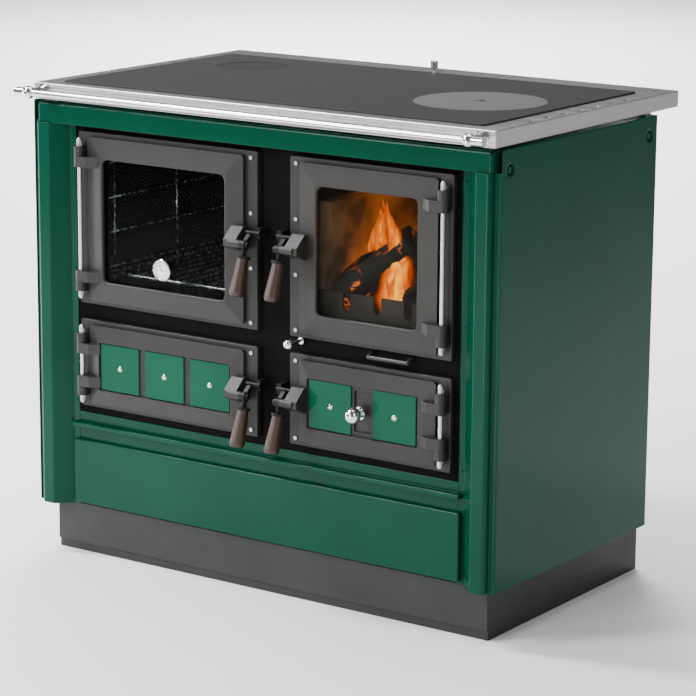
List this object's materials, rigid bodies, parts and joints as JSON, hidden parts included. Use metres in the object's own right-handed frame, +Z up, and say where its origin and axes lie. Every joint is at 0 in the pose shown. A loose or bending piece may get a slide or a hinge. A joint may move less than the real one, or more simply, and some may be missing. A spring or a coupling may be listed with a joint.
{
  "type": "wood burning stove",
  "caption": "Wood burning range stove: enamelled casing with hinged glazed oven and fire doors, two tiled lower doors, cast hob with lift-off lids, towel rail and fuel drawer.",
  "frame": {"origin": "on the floor at the middle of the plinth", "axes": "+Z up, -Y towards the person in front of the doors, +X to the right as seen from the front"},
  "size_m": [0.976, 0.6534, 0.876],
  "materials": {
    "enamel_green": "deep green gloss enamel",
    "tile_green": "green enamelled tile",
    "cast_grey": "satin grey paint on cast iron",
    "plate_black": "matt black heat-resisting paint",
    "plinth_grey": "matt dark grey paint",
    "worktop_steel": "brushed",
    "hob_iron": "ground and blackened",
    "lid_iron": "ground",
    "flue_iron": "bare, darkened by heat",
    "liner_steel": "dark vitreous coating on sheet steel",
    "firebrick": "fired vermiculite board",
    "chrome": "polished",
    "screw_steel": "bright",
    "pane_glass": "heat-resisting glass",
    "grip_wood": "stained and oiled"
  },
  "bodies": {
    "range": {"ash_box": "liner_steel", "ash_pan": "liner_steel", "ash_surround": "cast_grey", "back_panel": "liner_steel", "casing_bolts": "enamel_green", "column_left": "enamel_green", "column_right": "enamel_green", "drawer_rail": "enamel_green", "drawer_runners": "liner_steel", "fire_surround": "cast_grey", "firebox_shell": "flue_iron", "firebricks": "firebrick", "floor_pan": "liner_steel", "flue_spigot": "flue_iron", "front_plate": "plate_black", "fuel_retainer": "flue_iron", "hinge_nuts": "screw_steel", "hinge_rods": "screw_steel", "hob_plate": "hob_iron", "latch_keepers": "cast_grey", "oven_box": "liner_steel", "oven_rack": "chrome", "oven_surround": "cast_grey", "plate_screws": "screw_steel", "plinth": "plinth_grey", "rail_posts": "chrome", "rail_tube": "chrome", "side_panel_left": "enamel_green", "side_panel_right": "enamel_green", "store_box": "liner_steel", "store_surround": "cast_grey", "top_bar": "enamel_green", "worktop": "worktop_steel"},
    "oven_door": {"oven_door": "cast_grey", "oven_pane": "pane_glass", "thermometer": "chrome"},
    "oven_latch": {"oven_handle": "cast_grey", "oven_grip": "grip_wood"},
    "fire_door": {"fire_door": "cast_grey", "fire_pane": "pane_glass"},
    "fire_latch": {"fire_handle": "cast_grey", "fire_grip": "grip_wood"},
    "store_door": {"store_door": "cast_grey", "store_tiles": "tile_green"},
    "store_latch": {"store_handle": "cast_grey", "store_grip": "grip_wood"},
    "ash_door": {"ash_door": "cast_grey", "ash_tiles": "tile_green"},
    "ash_latch": {"ash_handle": "cast_grey", "ash_grip": "grip_wood"},
    "air_control": {"air_slide": "cast_grey", "air_knob": "chrome"},
    "bypass": {"bypass_rod": "chrome"},
    "shaker": {"shaker_bail": "chrome", "grate": "flue_iron"},
    "drawer": {"drawer_front": "enamel_green", "drawer_box": "liner_steel"},
    "damper": {"damper_knob": "chrome"},
    "ring_lid": {"ring_lid": "lid_iron"},
    "flue_cover": {"flue_cover": "hob_iron"}
  },
  "joints": [
    {"name": "oven_door_hinge", "type": "hinge", "parent": "range", "child": "oven_door", "pos_m": [-0.3805, -0.274, 0.621], "axis": [0, 0, -1], "range_deg": [0, 110]},
    {"name": "oven_latch_turn", "type": "hinge", "parent": "oven_door", "child": "oven_latch", "pos_m": [0, -0.298, 0.621], "axis": [-1, 0, 0], "range_deg": [0, 70]},
    {"name": "fire_door_hinge", "type": "hinge", "parent": "range", "child": "fire_door", "pos_m": [0.3805, -0.274, 0.621], "axis": [0, 0, 1], "range_deg": [0, 110]},
    {"name": "fire_latch_turn", "type": "hinge", "parent": "fire_door", "child": "fire_latch", "pos_m": [0.07, -0.298, 0.621], "axis": [-1, 0, 0], "range_deg": [0, 70]},
    {"name": "store_door_hinge", "type": "hinge", "parent": "range", "child": "store_door", "pos_m": [-0.3805, -0.274, 0.3585], "axis": [0, 0, -1], "range_deg": [0, 110]},
    {"name": "store_latch_turn", "type": "hinge", "parent": "store_door", "child": "store_latch", "pos_m": [0, -0.298, 0.3585], "axis": [-1, 0, 0], "range_deg": [0, 70]},
    {"name": "ash_door_hinge", "type": "hinge", "parent": "range", "child": "ash_door", "pos_m": [0.3805, -0.274, 0.3585], "axis": [0, 0, 1], "range_deg": [0, 110]},
    {"name": "ash_latch_turn", "type": "hinge", "parent": "ash_door", "child": "ash_latch", "pos_m": [0.07, -0.298, 0.3585], "axis": [-1, 0, 0], "range_deg": [0, 70]},
    {"name": "air_control_slide", "type": "slide", "parent": "ash_door", "child": "air_control", "axis": [0, 0, 1], "range_m": [-0.018, 0.018]},
    {"name": "bypass_pull", "type": "slide", "parent": "range", "child": "bypass", "axis": [0, -1, 0], "range_m": [0, 0.035]},
    {"name": "shaker_pull", "type": "slide", "parent": "range", "child": "shaker", "axis": [0, -1, 0], "range_m": [0, 0.02]},
    {"name": "drawer_pull", "type": "slide", "parent": "range", "child": "drawer", "axis": [0, -1, 0], "range_m": [0, 0.4]},
    {"name": "damper_push", "type": "slide", "parent": "range", "child": "damper", "axis": [0, 1, 0], "range_m": [0, 0.035]},
    {"name": "ring_lid_lift", "type": "slide", "parent": "range", "child": "ring_lid", "axis": [0, 0, 1], "range_m": [0, 0.06]},
    {"name": "flue_cover_lift", "type": "slide", "parent": "range", "child": "flue_cover", "axis": [0, 0, 1], "range_m": [0, 0.06]}
  ]
}
